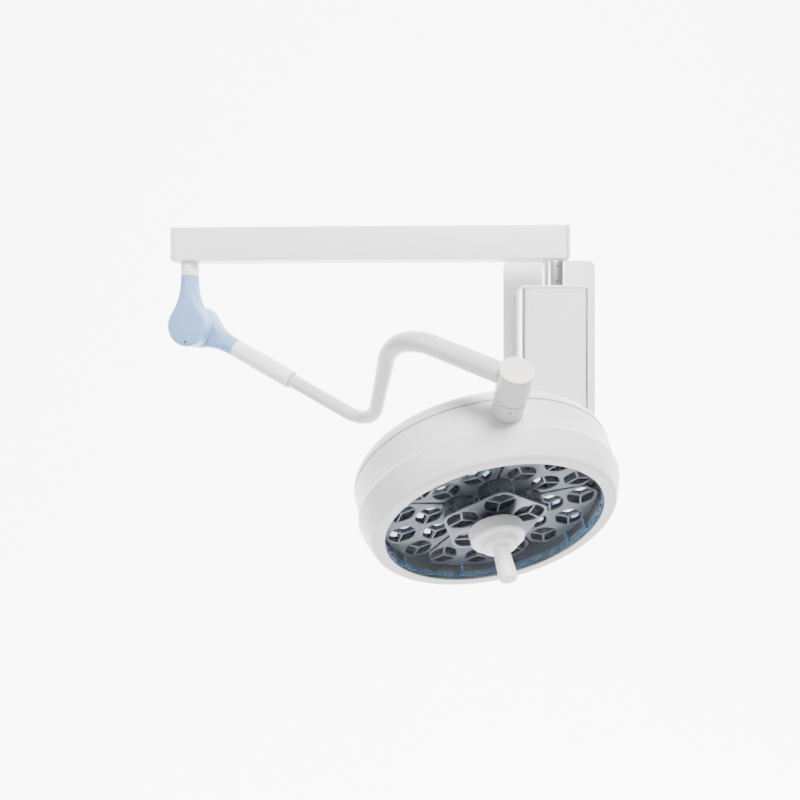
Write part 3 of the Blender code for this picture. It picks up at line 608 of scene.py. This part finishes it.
def casing_half(name, matrix, body, node, disc, neck, length, near, far, seam_side):
    """One shell of a knuckle: straight at the seam, its outer rim rounded; the rounding
    grows along the flanks until the neck is a half round."""
    outer, seam = (far, near) if seam_side == "near" else (near, far)
    direction = 1 if outer > seam else -1
    thick = abs(outer)
    outline = teardrop_outline(disc, neck, length)
    count = len(outline)
    normals = []
    for k in range(count):
        before, after = Vector(outline[k - 1]), Vector(outline[(k + 1) % count])
        if outline[k][0] > length - 1e-6:
            normals.append(Vector((0.0, math.copysign(1.0, outline[k][1]))))
        else:
            along = after - before
            normals.append(Vector((along.y, -along.x)).normalized())
    bm = bmesh.new()
    rings = []
    steps = 18
    levels = [0.0] + [abs(seam) + (thick - abs(seam)) * math.sin(math.pi / 2 * k / steps)
                      for k in range(1, steps + 1)]
    for number, level in enumerate(levels):
        height = max(level, abs(seam))
        ring = []
        for (x, y), normal in zip(outline, normals):
            share = min(1.0, max(0.0, (x - 0.018) / (length - 0.034)))
            corner = RIM_ROUND + (neck - RIM_ROUND) * share * share * (3 - 2 * share)
            reach = max(0.0, height - (thick - corner))
            inset = corner - math.sqrt(max(0.0, corner * corner - reach * reach))
            if number == 0:
                inset = 0.0007
            inset = min(inset, 0.995 * corner)
            ring.append(bm.verts.new((x - normal.x * inset, direction * height,
                                      y - normal.y * inset)))
        rings.append(ring)
    for first, second in zip(rings, rings[1:]):
        for k in range(count):
            bm.faces.new((first[k], first[(k + 1) % count], second[(k + 1) % count], second[k]))
    bm.faces.new(rings[0])
    bm.faces.new(rings[-1])
    finish_piece(name, bm, matrix, body, "blue_plastic", [node], 50)


def knuckles():
    low_x = span("rear_shell_outer", SPRING, 0)
    disc = -low_x[0]
    length = low_x[1]
    neck = girth("swivel_tube", SWIVEL)
    for shell, side in (("rear_shell_inner", "far"), ("rear_shell_outer", "near")):
        near, far = span(shell, SPRING, 1)
        casing_half(shell + "_skin", SPRING, "spring_arm", shell, disc, neck, length,
                    near, far, side)
    hinge = joint_point("arm_tilt") - joint_point("knuckle_swivel")
    hang = SWIVEL.copy()
    hang.translation = joint_point("knuckle_swivel") + UP * hinge.z
    hang = hang @ Matrix.Rotation(math.radians(-90), 4, "Y")
    reach = length + NECK_EXTRA
    for shell, side in (("front_shell_outer", "far"), ("front_shell_inner", "near")):
        near, far = span(shell, SWIVEL, 1)
        casing_half(shell + "_skin", hang, "swivel", shell, disc, neck, reach,
                    near, far, side)
    for index in (1, 2):
        node = "knuckle_screw_%d" % index
        along, depth, up = [span(node, SPRING, axis) for axis in range(3)]
        head = screw_head((along[1] - along[0]) / 2, depth[1] - depth[0])
        centre = ((along[0] + along[1]) / 2, depth[0], (up[0] + up[1]) / 2)
        place = SPRING @ Matrix.Translation(centre) @ Matrix.Rotation(
            math.radians(90), 4, "X")
        finish_piece(node + "_skin", head, place, "spring_arm", "black_screw",
                     [node])
    place = SWIVEL @ Matrix.Translation((0.0005, -0.0209, hinge.z - 0.0362)) @ Matrix.Rotation(
        math.radians(90), 4, "X")
    finish_piece("front_casing_screw", screw_head(0.0030, 0.006), place, "swivel",
                 "black_screw")

    low, high = span("swivel_tube", SWIVEL, 2)
    low += reach - length
    radius = girth("swivel_tube", SWIVEL)
    pin = radius - PIN_STEP
    profile = rounded([(radius, low), (radius, -0.0006), (pin, -0.0006), (pin, high),
                       (pin - 0.004, high), (pin - 0.004, low)], 0.0006, True, 3)
    finish_piece("swivel_tube_skin", lathe(profile, 96), SWIVEL, "swivel", "arm_paint",
                 ["swivel_tube"])


def spring_arm():
    along = SPRING @ Matrix.Rotation(math.radians(90), 4, "Y")
    low, high = span("sleeve_tube", SPRING, 0)
    radius = max(abs(value) for value in span("sleeve_tube", SPRING, 1))
    bore = radius - 0.0032
    profile = rounded([(radius, low), (radius, high), (bore, high), (bore, low)],
                      [0.0005, 0.0018, 0.0006, 0.0005], True, 4)
    finish_piece("sleeve_skin", lathe(profile, 96), along, "spring_arm", "arm_paint",
                 ["sleeve_tube"])


# ---------------------------------------------------------------- bent tube and hub
YOKE_CORNERS = ((0.4605, 0.0), (0.4752, 0.3001), (0.7209, 0.3371))
BENDS = (0.068, 0.106)
TUBE_THIN, TUBE_THICK = 0.0146, 0.0197
SPIGOT = 0.0122                   # end of the tube inside the sleeve
HUB_LOWER = 0.0294                # radius of the hub below its seam


def bent_tube():
    start = span("yoke_tube", YOKE, 0)[0]
    hub_radius = girth("hub_upper", HUB)
    corners = [Vector((start, 0.0, 0.0))] + [Vector((x, 0.0, z)) for x, z in YOKE_CORNERS]
    corners[-1] -= (corners[-1] - corners[-2]).normalized() * (hub_radius - 0.006)
    sleeve_end = span("sleeve_tube", SPRING, 0)[1]
    path = []
    bends = rounded(corners, [0, BENDS[0], BENDS[1], 0], False, 20)
    for first, second in zip(bends, bends[1:]):
        pieces = max(1, int((second - first).length / 0.012))
        path += [first.lerp(second, k / pieces) for k in range(pieces)]
    path.append(bends[-1])
    lengths = [0.0]
    for first, second in zip(path, path[1:]):
        lengths.append(lengths[-1] + (second - first).length)
    swells = [min(1.0, max(0.0, (length / lengths[-1] - 0.45) / 0.35)) for length in lengths]
    radii = [TUBE_THIN + (TUBE_THICK - TUBE_THIN) * swell ** 2 * (3 - 2 * swell)
             for swell in swells]
    kept = [(point, radius) for point, radius in zip(path, radii)
            if point.x > sleeve_end + 0.0008 or point.z > 0.001]
    points = [Vector((start, 0, 0)), Vector((sleeve_end - 0.0002, 0, 0)),
              Vector((sleeve_end, 0, 0)), Vector((sleeve_end + 0.0006, 0, 0))]
    sizes = [SPIGOT, SPIGOT, TUBE_THIN - 0.0006, TUBE_THIN]
    points += [point for point, radius in kept]
    sizes += [radius for point, radius in kept]
    # The tube's paint is darkened as painted shade.
    finish_piece("yoke_tube_skin", sweep_tube(points, sizes, 56), YOKE, "yoke", "tube_paint",
                 ["yoke_tube"], 40)


def hub():
    low, high = span("hub_upper", HUB, 2)
    radius = girth("hub_cap", HUB)
    top = span("hub_cap", HUB, 2)[1]
    bore = 0.0135
    profile = rounded([(radius - 0.0013, low), (radius, high), (bore, high), (bore, low)],
                      [0.0008, 0.0003, 0.0003, 0.0003], True, 4)
    # The hub's upper and lower parts use paint darkened as painted shade.
    finish_piece("hub_upper_skin", lathe(profile, 112), HUB, "yoke", "hub_paint",
                 ["hub_upper"])
    base = high + 0.0003
    rim = radius - 0.0003
    profile = [Vector((0, base)), Vector((rim, base)), Vector((rim, top)), Vector((0, top))]
    profile = rounded(profile, [0, 0.0004, 0.0014, 0], False, 5)
    finish_piece("hub_cap_skin", lathe(profile, 112, False), HUB, "yoke", "warm_white",
                 ["hub_cap"])
    # Painted shadow: a black ring fills the seam's gap so it shows as a dark line of shade.
    ring = rounded([(0.0200, low - 0.0001), (0.0288, low - 0.0001), (0.0288, low - 0.0014),
                    (0.0200, low - 0.0014)], 0.0002, True, 2)
    finish_piece("hub_seam_painted_shadow_ring", lathe(ring, 112), HUB, "head", "black_screw")
    foot, seam = span("hub_lower", HUB, 2)[0], low - 0.0016
    radius = HUB_LOWER
    pin = 0.0110
    tip = span("hub_lower", HUB, 2)[1]
    profile = [Vector((0, foot)), Vector((radius - 0.0007, foot)), Vector((radius, seam)),
               Vector((pin, seam)), Vector((pin, tip)), Vector((0, tip))]
    profile = rounded(profile, [0, 0.0005, 0.0010, 0.0005, 0.0005, 0], False, 4)
    finish_piece("hub_lower_skin", lathe(profile, 112, False), HUB, "head", "hub_paint",
                 ["hub_lower"])
    spot = middle("hub_screw", HUB)
    rise = span("hub_screw", HUB, 2)
    place = (HUB @ Matrix.Translation((0, 0, spot.z))
             @ Matrix.Rotation(math.atan2(spot.y, spot.x), 4, "Z")
             @ Matrix.Translation((radius + 0.0003, 0, 0))
             @ Matrix.Rotation(math.radians(90), 4, "Y"))
    finish_piece("hub_screw_skin", screw_head((rise[1] - rise[0]) / 2, 0.004), place, "head", "black_screw",
                 ["hub_screw"])


# ---------------------------------------------------------------- lamp head
WALL = 0.003


def head_shells():
    seam = span("head_shell", LAMP, 2)[0]
    crease_z, crease_radius, seam_radius = -0.052, 0.2617, 0.2606
    window = 0.2168
    outline = [(seam_radius, seam), (0.2580, (seam + crease_z) / 2), (0.2588, crease_z - 0.0065),
               (crease_radius, crease_z), (0.2540, -0.030), (0.2422, -0.0035), (0.2365, 0.0),
               (window, -0.0012), (window, -0.0042), (window + 0.006, -0.0042),
               (window + 0.006, -0.014), (0.2385, -0.016),
               (crease_radius - WALL, crease_z), (seam_radius - WALL, seam)]
    radii = [0.0012, 0.20, 0.004, 0.0035, 0.15, 0.009, 0.009, 0.0022, 0.0008, 0.0005, 0.0005,
             0.002, 0.02, 0.0005]
    profile = rounded(outline, radii, True, 10)
    finish_piece("head_shell_skin", lathe(profile, 180), LAMP, "head", "white_plastic",
                 ["head_shell"], 24)
    back = span("back_cover", LAMP, 2)[0]
    edge = seam - 0.0030
    outer = [(0, back), (0.150, back + 0.0015), (0.2215, back + 0.008), (0.2525, back + 0.026),
             (0.2598, back + 0.040), (seam_radius + 0.0004, edge)]
    inner = [(seam_radius - WALL, edge), (0.2500, back + 0.029), (0.2200, back + 0.011),
             (0.150, back + 0.0045), (0, back + 0.003)]
    profile = rounded(outer + inner,
                      [0, 0.2, 0.05, 0.04, 0.02, 0.0010, 0.0008, 0.05, 0.05, 0.2, 0], False, 8)
    finish_piece("back_cover_skin", lathe(profile, 180, False), LAMP, "head", "white_plastic",
                 ["back_cover"], 24)
    low, high = span("seam_gasket", LAMP, 2)
    ring = rounded([(seam_radius - 0.0014, high), (seam_radius - 0.0014, low),
                    (seam_radius - WALL, low), (seam_radius - WALL, high)], 0.0003, True, 2)
    finish_piece("seam_gasket_skin", lathe(ring, 180), LAMP, "head", "gasket",
                 ["seam_gasket"])


def window():
    low, high = span("window_glass", LAMP, 2)
    outer = girth("window_glass", LAMP)
    profile = rounded([(0.024, low), (outer, low), (outer, high), (0.024, high)], 0.0006, True, 3)
    finish_piece("window_glass_skin", lathe(profile, 144), LAMP, "head", "window",
                 ["window_glass"])
    # Blue wall just behind the glass, with a scalloped lower lip and struts.
    top, deep = low - 0.0006, -0.022
    ring = rounded([(0.2160, top), (0.2205, top), (0.2205, deep), (0.2160, deep)],
                   0.0006, True, 3)
    finish_piece("edge_ring", lathe(ring, 144), LAMP, "head", "edge_ring")
    wall = rounded([(0.2200, deep - 0.0004), (0.2230, deep - 0.0004), (0.2230, -0.075),
                    (0.2200, -0.075)], 0.0005, True, 2)
    finish_piece("inner_wall", lathe(wall, 144), LAMP, "head", "inner_wall")
    ticks = []
    for index in range(60):
        spin = Matrix.Rotation(math.tau * index / 60, 4, "Z")
        ticks.append(move(block((0.2135, -0.0004, top - 0.006), (0.2165, 0.0004, top), 0.0002, 1),
                          spin))
    for angle in (-50, -9, 57, 73, 130, 190, 250):
        spin = Matrix.Rotation(math.radians(angle), 4, "Z")
        ticks.append(move(block((0.2110, -0.0030, -0.048), (0.2160, 0.0030, top), 0.0006, 2),
                          spin))
    finish_piece("edge_ring_ribs", merge(*ticks), LAMP, "head", "edge_ring")


PETALS = 5
PETAL_AXIS_Z, PETAL_DISH = -0.058, 5.6
CENTRE_Z = -0.0145
HOLE = 0.0285
CENTRE_HOLE = 0.0315
CARRIER_HALF = 0.0018             # half the thickness of a carrier plate
CELL_DEPTH, CELL_RINGS, CELL_SIDES = 0.026, 7, 36
CENTRE_SPOTS = 0.070              # radius on which the middle carrier's holes stand


def cell_hole(cx, cy, radius, turn, count=36):
    """Rounded hexagon: a circle pulled in a little between its six corners."""
    points = []
    for k in range(count):
        angle = math.tau * k / count
        size = radius * (1 - 0.045 * (1 - math.cos(6 * (angle - turn))) / 2)
        points.append((cx + size * math.cos(angle), cy + size * math.sin(angle)))
    return points


def module_parts(cx, cy, radius, turn, low, high):
    """Three ribs from the middle of a hole to its rim, and the three cells behind them."""
    ribs, cups = [], []
    for k in range(3):
        spin = Matrix.Translation((cx, cy, 0)) @ Matrix.Rotation(turn + math.tau * k / 3, 4, "Z")
        ribs.append(move(block((-0.0008, -0.0017, low - 0.0040), (radius + 0.0008, 0.0017, high),
                               0.0008, 2), spin))
    bowl = bmesh.new()
    loops = []
    for ring in range(CELL_RINGS + 1):
        share = ring / CELL_RINGS
        size = (radius + 0.0010) * math.cos(share * math.pi / 2 * 0.93)
        level = low - 0.0002 - CELL_DEPTH * math.sin(share * math.pi / 2)
        loop = []
        for k in range(CELL_SIDES):
            angle = math.tau * k / CELL_SIDES
            # Each third of the bowl is a flatter facet, creased behind its ribs.
            fold = abs(math.sin(1.5 * (angle - turn)))
            lift = 0.0065 * (1 - fold) * math.sin(share * math.pi)
            loop.append(bowl.verts.new((cx + size * math.cos(angle), cy + size * math.sin(angle),
                                        level + lift)))
        loops.append(loop)
    for first, second in zip(loops, loops[1:]):
        for k in range(CELL_SIDES):
            after = (k + 1) % CELL_SIDES
            bowl.faces.new((first[k], first[after], second[after], second[k]))
    bowl.faces.new(loops[-1])
    bmesh.ops.solidify(bowl, geom=bowl.faces[:], thickness=0.0006)
    cups.append(bowl)
    return ribs, cups


def glint(cx, cy, level, radius, start, spread, near, far):
    """Facet with a painted glint that glows by itself, filling part of one cell, a low faceted pyramid
    between two ribs.
    """
    middle = start + spread / 2
    reach = radius * far
    inner = radius * near
    corners = [(inner, middle), (reach * 0.80, start + spread * 0.16), (reach, middle - 0.16),
               (reach * 0.97, middle + 0.22), (reach * 0.74, start + spread * 0.86)]
    bm = bmesh.new()
    low = [bm.verts.new((cx + r * math.cos(a), cy + r * math.sin(a), level)) for r, a in corners]
    heart = (cx + reach * 0.62 * math.cos(middle), cy + reach * 0.62 * math.sin(middle))
    top = [bm.verts.new((heart[0] + (vert.co.x - heart[0]) * 0.6,
                         heart[1] + (vert.co.y - heart[1]) * 0.6, level + 0.0020))
           for vert in low]
    count = len(low)
    for k in range(count):
        bm.faces.new((low[k], low[(k + 1) % count], top[(k + 1) % count], top[k]))
    bm.faces.new(low)
    bm.faces.new(top)
    return bm


def petal_outline(half, inner, outer, corner):
    near, far = math.degrees(0.004 / inner), math.degrees(corner / outer)
    points = [(inner * math.cos(math.radians(a)), inner * math.sin(math.radians(a)))
              for a in (half - near, 0, near - half)]
    out = arc(0, 0, outer, far - half, half - far, 24)
    side = outer - corner * 0.9
    low = (side * math.cos(math.radians(half)), -side * math.sin(math.radians(half)))
    high = (side * math.cos(math.radians(half)), side * math.sin(math.radians(half)))
    return [tuple(v) for v in rounded(points + [low] + out + [high],
                                      [0.003, 0, 0.003, corner * 0.5] + [0] * 24
                                      + [corner * 0.5], True, 5)]


# Cells with a painted glint, as petal number and module number: a glowing facet stands in for a reflection.
# The facets glow faintly on their own, so they stay bright in every pose.
PAINTED_GLINT_WHITE = {(0, 0), (0, 1), (1, 1), (1, 3), (4, 0), (3, 0), (3, 1), (3, 3), (3, 4), (1, 0)}
PAINTED_GLINT_BLUE = {(0, 0), (1, 0), (1, 1), (1, 3), (3, 0), (3, 1), (3, 3), (2, 3), (1, 2)}
MODULES = [(0.124, -16), (0.124, 16), (0.183, -24.5), (0.183, 0), (0.183, 24.5)]


def outer_carriers():
    for index in range(PETALS):
        middle = 180 + (index + 0.5) * 360 / PETALS
        node = "led_carrier_%d" % (index + 1)
        place = (LAMP @ Matrix.Translation((0, 0, PETAL_AXIS_Z))
                 @ Matrix.Rotation(math.radians(middle), 4, "Z")
                 @ Matrix.Rotation(math.radians(-PETAL_DISH), 4, "Y"))
        low, high = -CARRIER_HALF, CARRIER_HALF
        outline = petal_outline(180 / PETALS - 0.7, 0.050, 0.2165, 0.030)
        spots = [(radius * math.cos(math.radians(a)), radius * math.sin(math.radians(a)))
                 for radius, a in MODULES]
        holes = [cell_hole(x, y, HOLE, math.pi) for x, y in spots]
        plate = pierced(outline, holes, low, high, 0.0006)
        finish_piece("outer_carrier_%d" % (index + 1), plate, place, "head", "led_grey",
                     [node], 40)
        ribs, cups = [], []
        for x, y in spots:
            more_ribs, more_cups = module_parts(x, y, HOLE, math.pi, low, high)
            ribs += more_ribs
            cups += more_cups
        finish_piece("outer_ribs_%d" % (index + 1), merge(*ribs), place, "head",
                     "carrier_light")
        finish_piece("outer_cells_%d" % (index + 1), merge(*cups), place, "head", "cell",
                     (), 30)
        # Painted reflections: a white or blue glowing facet in each chosen cell.
        for look, chosen, side in (("painted_glint_white", PAINTED_GLINT_WHITE, -1), ("painted_glint_blue", PAINTED_GLINT_BLUE, 1)):
            facets = [glint(x, y, low - 0.0035, HOLE, *painted_glint_cell(middle, side), 0.30, 0.86)
                      for number, (x, y) in enumerate(spots) if (index, number) in chosen]
            if facets:
                finish_piece("%s_%d" % (look, index + 1), merge(*facets), place, "head", look,
                             (), 20)


def painted_glint_cell(middle, side):
    """Start and spread of the cell just to one side of the direction towards the hub, where a painted glint
    goes.
    """
    want = math.radians(180 - middle) - side * math.radians(52)
    starts = [math.pi + math.tau * k / 3 for k in range(3)]
    best = min(starts, key=lambda start: abs(math.remainder(start + math.tau / 6 - want,
                                                            math.tau)))
    return best, math.tau / 3


def centre_carrier():
    outline = []
    for index in range(PETALS):
        middle = 180 + index * 360 / PETALS
        spot = math.radians(middle)
        outline += arc(0.081 * math.cos(spot), 0.081 * math.sin(spot), 0.026, middle - 36,
                       middle + 36, 9)
    spots = [(CENTRE_SPOTS * math.cos(math.radians(180 + 72 * k)),
              CENTRE_SPOTS * math.sin(math.radians(180 + 72 * k))) for k in range(PETALS)]
    low, high = CENTRE_Z - CARRIER_HALF, CENTRE_Z + CARRIER_HALF
    holes = []
    ribs, cups, barrels = [], [], []
    for k, (x, y) in enumerate(spots):
        turn = math.radians(72 * k)
        holes.append(cell_hole(x, y, CENTRE_HOLE, turn))
        more_ribs, more_cups = module_parts(x, y, CENTRE_HOLE, turn, low, high)
        ribs += more_ribs
        cups += more_cups
        wall = [(CENTRE_HOLE + 0.0014, low - 0.0003), (CENTRE_HOLE + 0.0040, low - 0.0003),
                (CENTRE_HOLE + 0.0040, low - 0.004), (CENTRE_HOLE + 0.0020, low - 0.005),
                (CENTRE_HOLE + 0.0020, low - 0.014), (CENTRE_HOLE + 0.0034, low - 0.015),
                (CENTRE_HOLE + 0.0034, low - 0.018), (CENTRE_HOLE + 0.0018, low - 0.019),
                (CENTRE_HOLE + 0.0018, low - 0.036), (CENTRE_HOLE + 0.0008, low - 0.036),
                (CENTRE_HOLE + 0.0008, low - 0.005)]
        barrels.append(move(lathe(wall, 64), Matrix.Translation((x, y, 0))))
    centre_hole = cell_hole(0, 0, 0.0215, 0)
    plate = pierced(outline, holes + [centre_hole], low, high, 0.0006)
    finish_piece("centre_carrier", plate, LAMP, "head", "carrier_light",
                 ["led_carrier_centre"], 40)
    finish_piece("centre_ribs", merge(*ribs), LAMP, "head", "carrier_light")
    finish_piece("centre_cells", merge(*cups), LAMP, "head", "cell", (), 30)
    finish_piece("centre_barrels", merge(*barrels), LAMP, "head", "barrel", (), 25)
    posts = []
    for k in range(PETALS):
        spot = math.radians(180 + 72 * k)
        profile = rounded([(0, -0.058), (0.0150, -0.058), (0.0150, -0.043), (0.0110, -0.040),
                           (0.0110, -0.030), (0, -0.030)], [0, 0, 0.002, 0.002, 0.003, 0],
                          False, 4)
        posts.append(move(lathe(profile, 40, False),
                          Matrix.Translation((0.078 * math.cos(spot), 0.078 * math.sin(spot), 0))))
    finish_piece("carrier_posts", merge(*posts), LAMP, "head", "gasket")


def handle():
    tip = span("handle", LAMP, 2)[1]
    profile = [(0, -0.048), (0.0084, -0.048), (0.0088, -0.002), (0.0525, 0.0006),
               (0.0545, 0.0030), (0.0532, 0.0255), (0.0495, 0.0300), (0.0390, 0.0312),
               (0.0368, 0.0330), (0.0352, 0.0420), (0.0330, 0.0440), (0.0185, 0.0452),
               (0.0162, 0.0490), (0.0160, 0.0560), (0.0178, tip - 0.0070),
               (0.0162, tip - 0.0010), (0.0085, tip), (0.0055, tip - 0.0004),
               (0.0030, tip - 0.0028), (0, tip - 0.0034)]
    radii = [0, 0.001, 0.001, 0.002, 0.003, 0.004, 0.003, 0.002, 0.002, 0.003, 0.003, 0.003,
             0.003, 0.02, 0.003, 0.002, 0.004, 0.003, 0.003, 0]
    profile = rounded(profile, radii, False, 5)
    finish_piece("handle_skin", lathe(profile, 112, False), LAMP, "handle", "handle_white",
                 ["handle"], 40)


# ---------------------------------------------------------------- carried-over nodes
def carried_over():
    """Every CAD node that still shows gets its slot's full material."""
    for entry in RECORD["subparts"]:
        node = NODES[entry["node"]]
        node.data.materials.clear()
        node.data.materials.append(LOOK[entry["material_slot"]])
        node.data.shade_smooth()
        node.data.set_sharp_from_angle(angle=math.radians(30))


# ---------------------------------------------------------------- stage
def sheet(name, corners, material):
    mesh = bpy.data.meshes.new(name)
    bm = bmesh.new()
    bm.faces.new([bm.verts.new(corner) for corner in corners])
    bm.to_mesh(mesh)
    bm.free()
    piece = bpy.data.objects.new(name, mesh)
    bpy.context.scene.collection.objects.link(piece)
    mesh.materials.append(material)


def stage():
    """Pale floor well below the lamp and a bright paper wall behind it."""
    floor = CAD_BOX[0].z - 1.65
    far = 2.4
    pale = coating("studio_floor", (0.90, 0.90, 0.90), 0.8, 0.02, vary=0.004)
    paper = coating("studio_paper", (0.90, 0.90, 0.90), 0.8, 0.02, vary=0.004)
    shader = paper.node_tree.nodes["Principled BSDF"]
    shader.inputs["Emission Color"].default_value = (1.0, 1.0, 1.0, 1.0)
    shader.inputs["Emission Strength"].default_value = 7.0
    half, top = 6, floor + 7
    sheet("studio_floor", [(-half, -half, floor), (half, -half, floor), (half, far, floor),
                           (-half, far, floor)], pale)
    sheet("studio_paper", [(-half, far, floor), (half, far, floor), (half, far, top),
                           (-half, far, top)], paper)


def light(name, place, target, size, power, colour=(1, 1, 1)):
    lamp = bpy.data.lights.new(name, "AREA")
    lamp.shape = "RECTANGLE"
    lamp.size, lamp.size_y = size
    lamp.energy = power
    lamp.color = colour
    holder = bpy.data.objects.new(name, lamp)
    bpy.context.scene.collection.objects.link(holder)
    holder.location = place
    aim = Vector(target) - Vector(place)
    holder.rotation_euler = aim.to_track_quat("-Z", "Y").to_euler()


def studio():
    world = bpy.data.worlds.new("studio_world")
    bpy.context.scene.world = world
    world.use_nodes = True
    shell = world.node_tree.nodes["Background"]
    shell.inputs["Color"].default_value = (0.97, 0.98, 1.0, 1)
    shell.inputs["Strength"].default_value = 0.40
    light("key", (0.7, -2.3, 2.6), (-0.3, -0.2, 0.0), (1.4, 1.0), 470)
    light("fill", (-2.3, -2.0, 0.9), (-0.3, -0.2, -0.1), (1.0, 1.4), 45)


def camera():
    data = bpy.data.cameras.new("camera")
    data.sensor_width = 36.0
    data.lens = 40.5
    holder = bpy.data.objects.new("camera", data)
    bpy.context.scene.collection.objects.link(holder)
    # Level with a point a little under the plate's centre, looking straight at the wall.
    holder.location = (-0.3375, -2.042, -0.0855)
    holder.rotation_euler = (math.radians(90), 0, 0)
    bpy.context.scene.camera = holder


camera()
carried_over()
wall_mount()
column()
arm()
knuckles()
spring_arm()
bent_tube()
hub()
head_shells()
window()
outer_carriers()
centre_carrier()
handle()
stage()
studio()
